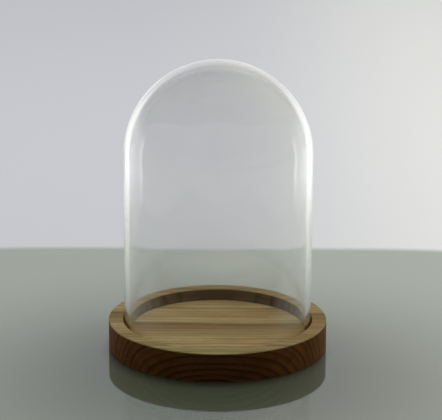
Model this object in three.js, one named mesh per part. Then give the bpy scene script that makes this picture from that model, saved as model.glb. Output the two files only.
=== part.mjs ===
// Display dome: a clear glass bell that stands in the round recess of a turned, solid wooden base.
// Millimetres, +Z up. The origin is the centre of the base's underside.
import * as THREE from "three";

// Driving dimensions of the wooden base.
const BASE_DIAMETER = 140;
const BASE_THICKNESS = 19;
const RECESS_DIAMETER = 121.6; // the glass stands in it with 0.8 mm to spare all round
const RECESS_DEPTH = 7.4;
const BASE_EDGE_ROUND = 0.9; // sanded outer edges, top and bottom
const RECESS_LIP_ROUND = 0.5; // sanded edge at the mouth of the recess
const RECESS_CORNER_ROUND = 0.6; // what the turning tool leaves between recess wall and floor

// Driving dimensions of the glass dome.
const GLASS_DIAMETER = 120;
const GLASS_HEIGHT = 176;
const GLASS_WALL = 3.5;
const RESTING_GAP = 0.3; // between the glass rim and the recess floor

// How finely the round shapes are divided.
const TURNED_SEGMENTS = 72; // a multiple of 4, so that the full diameter lies on X and on Y
const SMALL_ROUND_STEPS = 3;
const RIM_STEPS = 6;
const CROWN_STEPS = 14;

const RECESS_FLOOR_Z = BASE_THICKNESS - RECESS_DEPTH;

// Points along an arc of a turned profile, where x is the radius and y the height.
// Angles are in degrees, anticlockwise from the +X direction.
function arc(centreX, centreY, radius, fromDegrees, toDegrees, steps) {
  return Array.from({ length: steps + 1 }, (_, step) => {
    const degrees = fromDegrees + ((toDegrees - fromDegrees) * step) / steps;
    const angle = THREE.MathUtils.degToRad(degrees);
    const x = centreX + radius * Math.cos(angle);
    const y = centreY + radius * Math.sin(angle);
    return new THREE.Vector2(x, y);
  });
}

// Turns a profile about the Z axis. The profile starts and ends on the axis and keeps the material
// on its left, so that the faces point out of the solid.
function turned(profile) {
  const geometry = new THREE.LatheGeometry(profile, TURNED_SEGMENTS);
  return geometry.rotateX(Math.PI / 2);
}

// A solid disc with a shallow round recess turned into its top, and every edge sanded.
function woodBase() {
  const radius = BASE_DIAMETER / 2;
  const recessRadius = RECESS_DIAMETER / 2;
  const edgeX = radius - BASE_EDGE_ROUND;
  const topEdgeY = BASE_THICKNESS - BASE_EDGE_ROUND;
  const lipX = recessRadius + RECESS_LIP_ROUND;
  const lipY = BASE_THICKNESS - RECESS_LIP_ROUND;
  const cornerX = recessRadius - RECESS_CORNER_ROUND;
  const cornerY = RECESS_FLOOR_Z + RECESS_CORNER_ROUND;
  const profile = [
    new THREE.Vector2(0, 0),
    ...arc(edgeX, BASE_EDGE_ROUND, BASE_EDGE_ROUND, -90, 0, SMALL_ROUND_STEPS),
    ...arc(edgeX, topEdgeY, BASE_EDGE_ROUND, 0, 90, SMALL_ROUND_STEPS),
    ...arc(lipX, lipY, RECESS_LIP_ROUND, 90, 180, SMALL_ROUND_STEPS),
    ...arc(cornerX, cornerY, RECESS_CORNER_ROUND, 0, -90, SMALL_ROUND_STEPS),
    new THREE.Vector2(0, RECESS_FLOOR_Z),
  ];
  const wood = new THREE.MeshStandardMaterial({ color: 0x75664a, roughness: 0.6, metalness: 0 });
  const mesh = new THREE.Mesh(turned(profile), wood);
  mesh.name = "wood_base";
  return mesh;
}

// An even-walled shell: a straight tube closed by a half-round crown, open below, with a
// fire-polished rim. It is modelled with its rim on the plane z = 0.
function glassDome() {
  const outerRadius = GLASS_DIAMETER / 2;
  const innerRadius = outerRadius - GLASS_WALL;
  const rimRadius = GLASS_WALL / 2;
  const crownCentreY = GLASS_HEIGHT - outerRadius;
  const profile = [
    ...arc(0, crownCentreY, innerRadius, 90, 0, CROWN_STEPS),
    ...arc(innerRadius + rimRadius, rimRadius, rimRadius, -180, 0, RIM_STEPS),
    ...arc(0, crownCentreY, outerRadius, 0, 90, CROWN_STEPS),
  ];
  const glass = new THREE.MeshStandardMaterial({
    color: 0xeaf0ec,
    roughness: 0.02,
    metalness: 0,
    transparent: true,
    opacity: 0.35,
  });
  const mesh = new THREE.Mesh(turned(profile), glass);
  mesh.name = "glass_dome";
  return mesh;
}

const base = woodBase();
const dome = glassDome();
dome.position.z = RECESS_FLOOR_Z + RESTING_GAP;

const displayDome = new THREE.Group();
displayDome.name = "display_dome";
displayDome.add(base, dome);

export default displayDome;
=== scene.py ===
"""Looks of the display dome: a blown glass bell standing in the recess of a turned wooden base."""

import math

import bmesh
import bpy
from mathutils import Matrix, Vector, noise


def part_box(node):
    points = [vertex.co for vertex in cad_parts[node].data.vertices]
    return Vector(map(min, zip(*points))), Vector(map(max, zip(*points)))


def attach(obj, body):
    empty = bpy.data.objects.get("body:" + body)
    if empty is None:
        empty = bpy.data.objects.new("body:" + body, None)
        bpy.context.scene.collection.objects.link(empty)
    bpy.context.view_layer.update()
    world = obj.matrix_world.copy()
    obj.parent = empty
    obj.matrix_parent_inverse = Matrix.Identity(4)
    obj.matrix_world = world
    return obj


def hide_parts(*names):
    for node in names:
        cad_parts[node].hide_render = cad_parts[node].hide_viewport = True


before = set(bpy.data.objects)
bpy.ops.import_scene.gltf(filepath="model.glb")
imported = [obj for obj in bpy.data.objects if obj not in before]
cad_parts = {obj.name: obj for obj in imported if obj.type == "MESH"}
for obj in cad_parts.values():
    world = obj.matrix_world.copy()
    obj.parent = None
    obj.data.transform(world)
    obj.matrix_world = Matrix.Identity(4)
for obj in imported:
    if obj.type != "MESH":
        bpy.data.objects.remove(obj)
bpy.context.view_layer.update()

MM = 0.001

# Sizes that the boxes of the two CAD nodes give, in metres.
base_low, base_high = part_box("wood_base")
glass_low, glass_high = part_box("glass_dome")
BASE_RADIUS = base_high.x
BASE_TOP = base_high.z
GLASS_RADIUS = glass_high.x
GLASS_BOTTOM = glass_low.z
GLASS_TOP = glass_high.z

# Sizes inside those boxes, the same as in the CAD part.
GLASS_WALL = 3.5 * MM
RECESS_CLEARANCE = 0.8 * MM
RESTING_GAP = 0.3 * MM
RECESS_RADIUS = GLASS_RADIUS + RECESS_CLEARANCE
RECESS_FLOOR = GLASS_BOTTOM - RESTING_GAP

# A ray with a Transmission Depth above this has gone through both walls of the glass.
BOTH_WALLS = 3.5


# ---------------------------------------------------------------- shapes

def arc(centre, radius, start, end, steps):
    """(radius, height) points along an arc of a turned profile, from one angle to another, in degrees."""
    points = []
    for step in range(steps + 1):
        angle = math.radians(start + (end - start) * step / steps)
        points.append((centre[0] + radius * math.cos(angle), centre[1] + radius * math.sin(angle)))
    return points


def line(start, end, steps):
    """The points between start and end on a straight stretch of a profile, both ends left out."""
    between = [step / steps for step in range(1, steps)]
    return [(start[0] + (end[0] - start[0]) * s, start[1] + (end[1] - start[1]) * s) for s in between]


def turned(name, profile_at, segments):
    """A closed solid of revolution about Z. profile_at(angle) gives the (radius, height) points at
    one angle, which start and end on the axis and keep the material on their left."""
    mesh = bmesh.new()
    profile = profile_at(0.0)
    first = mesh.verts.new((0, 0, profile[0][1]))
    last = mesh.verts.new((0, 0, profile[-1][1]))
    rings = []
    for segment in range(segments):
        angle = 2 * math.pi * segment / segments
        inner_points = profile_at(angle)[1:-1]
        rings.append([
            mesh.verts.new((r * math.cos(angle), r * math.sin(angle), z)) for r, z in inner_points
        ])
    for segment in range(segments):
        here = rings[segment]
        after = rings[(segment + 1) % segments]
        mesh.faces.new((first, after[0], here[0]))
        mesh.faces.new((last, here[-1], after[-1]))
        for k in range(len(here) - 1):
            mesh.faces.new((here[k], after[k], after[k + 1], here[k + 1]))
    for face in mesh.faces:
        face.smooth = True
    data = bpy.data.meshes.new(name)
    mesh.to_mesh(data)
    mesh.free()
    piece = bpy.data.objects.new(name, data)
    bpy.context.scene.collection.objects.link(piece)
    return piece


def drift(angle, height, seed, turns, pitch):
    """Smooth noise from -1 to 1 round a turned piece: about turns waves round it, one per pitch of height."""
    place = Vector((math.cos(angle) * turns / 3, math.sin(angle) * turns / 3, height / pitch))
    return noise.noise(place + Vector((seed * 7.3, seed * 3.1, seed * 11.7)))


def make_base():
    """The turned disc. Its sanded edges are a little softer in some places than in others."""
    edge_round = 0.85 * MM
    lip_round = 0.5 * MM
    corner_round = 0.5 * MM
    uneven = 0.25 * MM
    edge_steps = 7
    flat_steps = 6

    def profile(angle):
        top_round = edge_round + uneven * drift(angle, 0, 1, 14, 1)
        under_round = edge_round + uneven * drift(angle, 0, 2, 9, 1)
        lip = lip_round + 0.4 * uneven * drift(angle, 0, 3, 18, 1)
        edge = BASE_RADIUS - top_round
        under_edge = BASE_RADIUS - under_round
        under = arc((under_edge, under_round), under_round, -90, 0, edge_steps)
        top = arc((edge, BASE_TOP - top_round), top_round, 0, 90, edge_steps)
        mouth = arc((RECESS_RADIUS + lip, BASE_TOP - lip), lip, 90, 180, edge_steps)
        corner_centre = (RECESS_RADIUS - corner_round, RECESS_FLOOR + corner_round)
        corner = arc(corner_centre, corner_round, 0, -90, edge_steps)
        support = 0.3 * MM
        points = [(0, 0), (BASE_RADIUS * 0.5, 0), (under_edge - support, 0)]
        points += under
        points += [(BASE_RADIUS, under_round + support)]
        points += line(under[-1], top[0], flat_steps)
        points += [(BASE_RADIUS, BASE_TOP - top_round - support)]
        points += top
        points += [(edge - support, BASE_TOP)]
        points += line(top[-1], mouth[0], 3)
        points += [(RECESS_RADIUS + lip + support, BASE_TOP)]
        points += mouth
        points += [(RECESS_RADIUS, BASE_TOP - lip - support)]
        points += [(RECESS_RADIUS, RECESS_FLOOR + corner_round + support)]
        points += corner
        points += [(RECESS_RADIUS - corner_round - support, RECESS_FLOOR)]
        points += [(RECESS_RADIUS * 0.5, RECESS_FLOOR), (0, RECESS_FLOOR)]
        return points

    return turned("turned_base", profile, 360)


def make_dome():
    """The glass bell: true outside, and very slightly wavy inside, as blown glass is."""
    inner = GLASS_RADIUS - GLASS_WALL
    crown_height = GLASS_TOP - GLASS_RADIUS
    rim_round = GLASS_WALL / 2
    rim_centre = (inner + rim_round, GLASS_BOTTOM + rim_round)
    wave = 0.05 * MM

    def profile(angle):
        inside = arc((0, crown_height), inner, 90, 0, 48)
        inside += line(inside[-1], (inner, rim_centre[1]), 24)
        wavy = []
        for r, z in inside:
            away_from_rim = min(1.0, (z - rim_centre[1]) / (10 * MM))
            shift = wave * away_from_rim * drift(angle, z, 5, 9, 60 * MM)
            scale = r / inner
            wavy.append((r + shift * scale, z))
        rim = arc(rim_centre, rim_round, -180, 0, 16)
        outside = arc((0, crown_height), GLASS_RADIUS, 0, 90, 48)
        return wavy + rim + line(rim[-1], outside[0], 24) + outside

    return turned("glass_bell", profile, 256)


# ---------------------------------------------------------------- node helpers

class Nodes:
    """Adds nodes to one tree. An input is either a plain value or another node's output socket."""

    def __init__(self, tree):
        self.tree = tree
        tree.nodes.clear()

    def add(self, kind, inputs=None, **settings):
        node = self.tree.nodes.new(kind)
        for key, value in settings.items():
            setattr(node, key, value)
        for key, value in (inputs or {}).items():
            if isinstance(value, bpy.types.NodeSocket):
                self.tree.links.new(value, node.inputs[key])
            else:
                node.inputs[key].default_value = value
        return node

    def math(self, operation, a, b=0.0, c=0.0, clamp=False):
        return self.add("ShaderNodeMath", {0: a, 1: b, 2: c}, operation=operation, use_clamp=clamp).outputs[0]

    def vector(self, operation, a, b=(0, 0, 0)):
        node = self.add("ShaderNodeVectorMath", {0: a, 1: b}, operation=operation)
        return node.outputs["Value" if operation == "LENGTH" else "Vector"]

    def noise(self, vector, scale=1.0, detail=2.0, roughness=0.5):
        inputs = {"Vector": vector, "Scale": scale, "Detail": detail, "Roughness": roughness}
        return self.add("ShaderNodeTexNoise", inputs).outputs["Fac"]

    def range(self, value, from_low, from_high, to_low=0.0, to_high=1.0, smooth=True):
        inputs = {0: value, 1: from_low, 2: from_high, 3: to_low, 4: to_high}
        kind = "SMOOTHSTEP" if smooth else "LINEAR"
        return self.add("ShaderNodeMapRange", inputs, interpolation_type=kind).outputs[0]

    def mix(self, fac, a, b, blend="MIX"):
        node = self.add("ShaderNodeMix", data_type="RGBA", blend_type=blend)
        for socket, value in ((node.inputs[0], fac), (node.inputs[6], a), (node.inputs[7], b)):
            if isinstance(value, bpy.types.NodeSocket):
                self.tree.links.new(value, socket)
            else:
                socket.default_value = value
        return node.outputs[2]


def material(name):
    made = bpy.data.materials.new(name)
    made.use_nodes = True
    return made, Nodes(made.node_tree)


def unreflected(n, path):
    """1 for a ray that nothing has reflected, apart from the surface that it comes from."""
    reflections = n.math("SUBTRACT", path["Glossy Depth"], path["Is Glossy Ray"])
    return n.math("LESS_THAN", reflections, 0.5)


def straight_through(n, path):
    """1 for a ray that has gone through both walls of the glass without being reflected by either."""
    both_walls = n.math("GREATER_THAN", path["Transmission Depth"], BOTH_WALLS)
    return n.math("MULTIPLY", both_walls, unreflected(n, path))


def within_one_wall(n, path):
    """1 for a ray that has met only one wall of the glass, which is a Transmission Depth of 1 to 3."""
    return n.math("COMPARE", path["Transmission Depth"], 2.0, 1.2)


def through_opening(n, path, dome, height):
    """1 for an unreflected ray that has met only one wall of the lifted dome, and so has mostly gone
    through its open end. height is the shaded point's height. Taking away its height in the dome's frame
    gives how far the dome is lifted."""
    in_dome = n.add("ShaderNodeTexCoord", object=dome).outputs["Object"]
    lift = n.math("SUBTRACT", height, n.add("ShaderNodeSeparateXYZ", {0: in_dome}).outputs["Z"])
    lifted = n.math("GREATER_THAN", lift, 5 * MM)
    direct = n.math("MULTIPLY", within_one_wall(n, path), unreflected(n, path))
    return n.math("MULTIPLY", lifted, direct)


def bent_by_glass(n, path, dome, height):
    """1 for a ray that the glass has reflected or turned aside, at its surface or inside its wall."""
    shiny = n.math("MAXIMUM", path["Is Glossy Ray"], path["Is Transmission Ray"])
    direct = n.math("MAXIMUM", straight_through(n, path), through_opening(n, path, dome, height))
    return n.math("MULTIPLY", shiny, n.math("SUBTRACT", 1.0, direct))


def rgb(red, green, blue):
    """A colour given as sRGB bytes, in the linear values that sockets take."""
    def linear(byte):
        c = byte / 255
        return c / 12.92 if c <= 0.04045 else ((c + 0.055) / 1.055) ** 2.4
    return (linear(red), linear(green), linear(blue), 1.0)


# ---------------------------------------------------------------- materials

def wood_material():
    """A plain board with its grain along X, cut beside the heart of the tree. The growth rings are circles
    about a pith that lies just in front of the base and under it, so they run as straight lines across the
    top and as arches round the front of the side."""
    made, n = material("oiled_wood")
    place = n.add("ShaderNodeTexCoord").outputs["Object"]
    mm = n.vector("MULTIPLY", place, (1000, 1000, 1000))

    # The rings, which wander a little along the board.
    pith = (0, -81, -11)
    slow = n.vector("MULTIPLY", mm, (0.010, 0.022, 0.022))
    sway = n.add("ShaderNodeTexNoise", {"Vector": slow, "Scale": 1.0, "Detail": 3.0}).outputs["Color"]
    sway = n.vector("SUBTRACT", sway, (0.5, 0.5, 0.5))
    sway = n.vector("MULTIPLY", sway, (0, 6.0, 6.0))
    from_pith = n.vector("SUBTRACT", n.vector("ADD", mm, sway), pith)
    radius = n.vector("LENGTH", n.vector("MULTIPLY", from_pith, (0, 1, 1)))
    # The pitch of the rings starts at 2.6 mm and grows by 0.03 mm for each mm of radius.
    along_radius = n.add("ShaderNodeCombineXYZ", {0: radius}).outputs[0]
    growth = n.math("MULTIPLY", n.noise(along_radius, 0.07), 2.0)
    pitches = n.math("ADD", n.math("MULTIPLY", radius, 0.03 / 2.6), 1.0)
    count = n.math("ADD", n.math("DIVIDE", n.math("LOGARITHM", pitches, math.e), 0.03), growth)
    ring = n.math("FRACT", count)
    number = n.math("FLOOR", count)
    chance = n.add("ShaderNodeTexWhiteNoise", {"W": number}, noise_dimensions="1D").outputs["Value"]
    late = n.math("MULTIPLY", n.range(ring, 0.30, 0.93), n.range(ring, 0.93, 1.0, 1.0, 0.0))
    late = n.math("MULTIPLY", late, n.range(chance, 0.0, 1.0, 0.35, 1.0, smooth=False))
    # A stretch of darker years, which ends in one dark ring.
    dark_years = n.math("MULTIPLY", n.range(radius, 68.0, 90.0), n.range(radius, 94.0, 95.5, 1.0, 0.0))
    dark_ring = n.math("MULTIPLY", n.range(radius, 92.6, 94.4), n.range(radius, 94.4, 95.5, 1.0, 0.0))

    # Fibres and pores, long along X and fine across it.
    fibre = n.noise(n.vector("MULTIPLY", mm, (0.020, 1.7, 1.7)), 1.0, 5.0, 0.62)
    pores = n.range(n.noise(n.vector("MULTIPLY", mm, (0.085, 3.4, 3.4)), 1.0, 2.0, 0.6), 0.57, 0.69)
    streak = n.noise(n.vector("MULTIPLY", mm, (0.006, 0.20, 0.20)), 1.0, 3.0, 0.55)
    patch = n.noise(n.vector("MULTIPLY", mm, (0.014, 0.030, 0.030)), 1.0, 2.0, 0.5)

    facing = n.add("ShaderNodeTexCoord").outputs["Normal"]
    up = n.math("ABSOLUTE", n.add("ShaderNodeSeparateXYZ", {0: facing}).outputs["Z"])
    side = n.range(up, 0.75, 0.05)
    light = rgb(162, 142, 99)
    middle = rgb(142, 121, 78)
    dark = rgb(70, 47, 24)
    warm = rgb(131, 98, 58)
    aged = rgb(108, 81, 46)
    colour = n.mix(n.range(streak, 0.36, 0.64), middle, light)
    colour = n.mix(n.math("MULTIPLY", n.range(patch, 0.50, 0.72), 0.5), colour, warm)
    colour = n.mix(n.math("MULTIPLY", dark_years, 0.75), colour, aged)
    # Painted shade: the back of the top, 128 to 146 mm from the pith, is mixed towards a darker, more
    # saturated brown, so that it looks no brighter than the front although the lamp from behind lights it
    # more.
    colour = n.mix(n.range(radius, 128.0, 146.0, 0.0, 0.7), colour, rgb(130, 107, 66))
    contrast = n.range(side, 0.0, 1.0, 0.5, 0.92, smooth=False)
    colour = n.mix(n.math("MULTIPLY", late, contrast), colour, dark)
    colour = n.mix(n.math("MULTIPLY", dark_ring, 0.8), colour, dark)
    fibre_tone = n.range(fibre, 0.3, 0.7, 0.72, 1.22, smooth=False)
    tones = n.add("ShaderNodeCombineColor", {0: fibre_tone, 1: fibre_tone, 2: fibre_tone}).outputs[0]
    colour = n.mix(1.0, colour, tones, "MULTIPLY")
    colour = n.mix(n.math("MULTIPLY", pores, 0.50), colour, rgb(74, 53, 30))

    # The turned sides and the recess wall are multiplied by a redder, darker colour: redder for their oiled
    # end grain, and darker as painted shade, on top of the shade the lamps give them. The recess wall gets
    # the darker colour, which is more painted shade in the recess. The sanded edges are paler.
    from_axis = n.vector("LENGTH", n.vector("MULTIPLY", mm, (1, 1, 0)))
    shaded_reddened_sides = n.mix(n.math("LESS_THAN", from_axis, 65.0), rgb(202, 152, 112), rgb(178, 144, 98))
    colour = n.mix(side, colour, shaded_reddened_sides, "MULTIPLY")
    edge = n.math("MULTIPLY", n.range(up, 0.10, 0.45), n.range(up, 0.75, 0.97, 1.0, 0.0))
    rubbed = n.math("MULTIPLY", edge, n.range(patch, 0.35, 0.65, 0.05, 0.40))
    colour = n.mix(rubbed, colour, rgb(172, 152, 112))

    rough = n.range(fibre, 0.3, 0.7, 0.62, 0.48, smooth=False)
    rough = n.math("ADD", rough, n.math("MULTIPLY", pores, 0.15))
    relief = n.math("ADD", n.math("MULTIPLY", fibre, 0.5), n.math("MULTIPLY", late, 0.25))
    relief = n.math("SUBTRACT", relief, n.math("MULTIPLY", pores, 0.5))
    bump = n.add("ShaderNodeBump", {"Strength": 0.35, "Distance": 0.00018, "Height": relief}).outputs[0]

    shader = n.add("ShaderNodeBsdfPrincipled", {
        "Base Color": colour, "Roughness": rough, "Normal": bump,
        "IOR": 1.45, "Specular IOR Level": 0.08,
    })
    n.add("ShaderNodeOutputMaterial", {"Surface": shader.outputs[0]})
    return made


def glass_material():
    """Clear blown glass with a faint grey-green tint and the slight smears that handling leaves."""
    made, n = material("clear_glass")
    place = n.add("ShaderNodeTexCoord").outputs["Object"]
    mm = n.vector("MULTIPLY", place, (1000, 1000, 1000))
    draw = n.noise(n.vector("MULTIPLY", mm, (0.05, 0.05, 0.008)), 1.0, 2.0)
    smear = n.noise(n.vector("MULTIPLY", mm, (0.03, 0.03, 0.05)), 1.0, 4.0, 0.6)
    bump = n.add("ShaderNodeBump", {"Strength": 0.12, "Distance": 0.0004, "Height": draw}).outputs[0]
    rough = n.range(smear, 0.45, 0.75, 0.0, 0.035)
    tint = n.mix(smear, rgb(246, 246, 246), rgb(243, 244, 243))
    glass = n.add("ShaderNodeBsdfPrincipled", {
        "Base Color": tint, "Roughness": rough, "Normal": bump,
        "IOR": 1.52, "Transmission Weight": 1.0,
    })
    clear = n.add("ShaderNodeBsdfTransparent", {"Color": (0.93, 0.95, 0.94, 1.0)})
    lamp = n.add("ShaderNodeLightPath").outputs["Is Shadow Ray"]
    both = n.add("ShaderNodeMixShader", {0: lamp, 1: glass.outputs[0], 2: clear.outputs[0]})
    n.add("ShaderNodeOutputMaterial", {"Surface": both.outputs[0]})
    return made


def floor_material(dome):
    """A pale table top with a soft shine. Round the object it has painted shade, darker and greener, and it
    is paler past a soft line about 0.21 m from the object's axis, with painted light brighter towards +X out
    there. It isn't the same to every kind of ray: rays that the glass has bent see a dim front, which is
    painted shade in the glass's reflections, and no table further out, and rays straight through see slightly
    other tones."""
    made, n = material("pale_table")
    place = n.add("ShaderNodeTexCoord").outputs["Object"]
    x, y, z = n.add("ShaderNodeSeparateXYZ", {0: place}).outputs
    path = n.add("ShaderNodeLightPath").outputs
    bent = bent_by_glass(n, path, dome, z)
    straight = straight_through(n, path)
    from_axis = n.vector("LENGTH", place)
    # The painted shade is centred a little in front of the object, where the base shades the table from the
    # lamp behind it.
    forward = 0.06
    from_painted_shade = n.vector("LENGTH", n.vector("ADD", place, (0, forward, 0)))
    # A square with rounded corners, as the eighth root of x to the eighth plus y to the eighth.
    eighth_x = n.math("POWER", n.math("ABSOLUTE", x), 8.0)
    eighth_y = n.math("POWER", n.math("ABSOLUTE", y), 8.0)
    across = n.math("POWER", n.math("ADD", eighth_x, eighth_y), 1 / 8)

    # Painted shade: the table is darkest next to the object and lightens outwards to 0.25 m.
    painted_shade_colour = rgb(64, 69, 54)
    table = n.mix(straight, rgb(155, 163, 149), rgb(165, 173, 158))
    colour = n.mix(n.range(from_painted_shade, 0.02, 0.25), painted_shade_colour, table)
    far = n.math("MULTIPLY", n.range(across, 0.204, 0.216), n.math("SUBTRACT", 1.0, bent))
    # Painted light: the pale floor is brighter towards +X, as if lit more from the right.
    pale = n.mix(n.range(x, 0.0, 0.20), rgb(216, 217, 222), rgb(243, 244, 240))
    dulled = n.math("MULTIPLY", straight, 0.06)
    pale = n.mix(dulled, pale, (0, 0, 0, 1))
    colour = n.mix(far, colour, pale)
    shiny = n.add("ShaderNodeBsdfPrincipled", {"Base Color": colour, "Roughness": 0.05, "IOR": 1.75})

    # Painted shade for reflections: rays that the glass has reflected or bent see a dim, matt table in front
    # of the object, darkest in the middle, which darkens the front in the glass's reflections.
    towards_front = n.range(y, -0.10, -0.03, 1.0, 0.0)
    close = n.range(from_axis, 0.22, 0.29, 1.0, 0.0)
    reflected = n.math("GREATER_THAN", path["Glossy Depth"], 0.5)
    front = n.math("MULTIPLY", n.math("MULTIPLY", towards_front, close), reflected)
    aside = n.range(n.math("ABSOLUTE", x), 0.04, 0.12)
    dim = n.add("ShaderNodeBsdfDiffuse", {"Color": n.mix(aside, rgb(46, 49, 41), rgb(98, 102, 88))})
    dimmed = n.math("MULTIPLY", front, bent)
    shader = n.add("ShaderNodeMixShader", {0: dimmed, 1: shiny.outputs[0], 2: dim.outputs[0]})

    # Elsewhere the table lets bent rays through, more so further out, to the studio below its level.
    outward = n.math("MULTIPLY", n.range(from_axis, 0.11, 0.46, smooth=False), bent)
    outward = n.math("MULTIPLY", outward, n.math("SUBTRACT", 1.0, front))
    clear = n.add("ShaderNodeBsdfTransparent", {"Color": (1, 1, 1, 1)})
    both = n.add("ShaderNodeMixShader", {0: outward, 1: shader.outputs[0], 2: clear.outputs[0]})
    n.add("ShaderNodeOutputMaterial", {"Surface": both.outputs[0]})
    return made


# ---------------------------------------------------------------- studio

def make_floor(dome):
    half_width = 20.0
    mesh = bpy.data.meshes.new("floor")
    corners = [(x * half_width, y * half_width, 0) for x, y in ((-1, -1), (1, -1), (1, 1), (-1, 1))]
    mesh.from_pydata(corners, [], [(0, 1, 2, 3)])
    floor = bpy.data.objects.new("floor", mesh)
    floor.location.z = -0.2 * MM  # just clear of the base's underside
    bpy.context.scene.collection.objects.link(floor)
    mesh.materials.append(floor_material(dome))


def make_world(dome):
    """A pale surround, a little brighter to the right. It isn't the same to every kind of ray: the edges of
    the glass see it brighter, reflections see two softboxes on the far side, one to the left and one to the
    right, and diffuse rays see almost nothing."""
    world = bpy.data.worlds.new("studio")
    world.use_nodes = True
    bpy.context.scene.world = world
    n = Nodes(world.node_tree)
    direction = n.add("ShaderNodeTexCoord").outputs["Generated"]
    x, y, z = n.add("ShaderNodeSeparateXYZ", {0: direction}).outputs
    azimuth = n.math("ARCTAN2", x, y)
    path = n.add("ShaderNodeLightPath").outputs

    def grey(level):
        return (level, level, level, 1)

    aglow = n.range(x, -0.03, 0.10, smooth=False)
    backdrop = n.mix(aglow, (0.545, 0.56, 0.595, 1), (0.78, 0.785, 0.76, 1))
    pale = n.mix(n.range(z, 0.1, 1.0), backdrop, grey(0.76))
    at_edge = n.mix(n.range(x, -0.5, 0.5), grey(1.04), (1.25, 1.25, 1.23, 1))
    at_edge = n.mix(n.range(z, -0.18, -0.08), at_edge, (0.90, 0.90, 0.89, 1))
    at_edge = n.mix(n.range(z, 0.0, 0.25), at_edge, (0.62, 0.62, 0.61, 1))

    # The two softboxes. Each is brightest along its outer edge. azimuth is measured from +Y, in radians.
    aside = n.math("ABSOLUTE", azimuth)
    box = n.math("MULTIPLY", n.range(aside, 0.35, 0.5), n.range(aside, 1.30, 1.35, 1.0, 0.0))
    box = n.math("MULTIPLY", box, n.range(z, 0.0, 0.25, 1.0, 0.0))
    box = n.math("MULTIPLY", box, n.range(z, -0.292, -0.270))
    rim_light = n.math("MULTIPLY", box, n.range(aside, 1.18, 1.26))
    softbox = n.mix(rim_light, grey(1.5), (2.6, 2.6, 2.5, 1))
    below = n.mix(n.range(aside, 0.5, 1.4), grey(0.95), grey(0.58))
    outside = n.mix(box, n.mix(n.range(z, -0.03, 0.0), below, pale), softbox)
    inside = n.mix(box, n.mix(n.range(z, -0.03, 0.0), grey(0.06), pale), softbox)
    reflected = n.mix(n.math("GREATER_THAN", path["Transmission Depth"], BOTH_WALLS), outside, inside)

    bent = n.mix(within_one_wall(n, path), reflected, at_edge)
    seen = n.mix(bent_by_glass(n, path, dome, z), pale, bent)
    colour = n.mix(path["Is Diffuse Ray"], seen, grey(0.02))
    background = n.add("ShaderNodeBackground", {"Color": colour, "Strength": 1.0})
    n.add("ShaderNodeOutputWorld", {"Surface": background.outputs[0]})


def make_light(name, place, target, size, power):
    data = bpy.data.lights.new(name, "AREA")
    data.shape = "DISK"
    data.size = size
    data.energy = power
    lamp = bpy.data.objects.new(name, data)
    lamp.location = place
    lamp.rotation_euler = (Vector(target) - Vector(place)).to_track_quat("-Z", "Y").to_euler()
    lamp.visible_camera = False
    lamp.visible_glossy = False
    lamp.visible_transmission = False
    bpy.context.scene.collection.objects.link(lamp)


def make_camera():
    """The camera that the outlines of the object in the photo were fitted with."""
    place = (0.00184, -1.6081, 0.5703)
    tilt = math.radians(73.41)
    roll = math.radians(0.29)
    data = bpy.data.cameras.new("camera")
    data.lens = 214.84
    camera = bpy.data.objects.new("camera", data)
    turn = Matrix.Rotation(tilt, 4, "X") @ Matrix.Rotation(roll, 4, "Z")
    camera.matrix_world = Matrix.Translation(place) @ turn
    data.clip_start = 0.05
    data.clip_end = 100
    bpy.context.scene.collection.objects.link(camera)
    bpy.context.scene.camera = camera


make_camera()
make_light("key", (0.1, 0.7, 2.0), (0, 0.1, 0), 1.2, 28)
make_light("left", (-1.2, 0.3, 0.7), (0, 0, 0.05), 0.8, 2.6)
make_light("right", (1.2, 0.3, 0.7), (0, 0, 0.05), 0.8, 4.2)
bpy.context.scene.view_settings.view_transform = "Standard"

base = make_base()
base.data.materials.append(wood_material())
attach(base, "base")
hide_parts("wood_base")

dome = make_dome()
dome.data.materials.append(glass_material())
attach(dome, "dome")
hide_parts("glass_dome")

make_floor(dome)
make_world(dome)
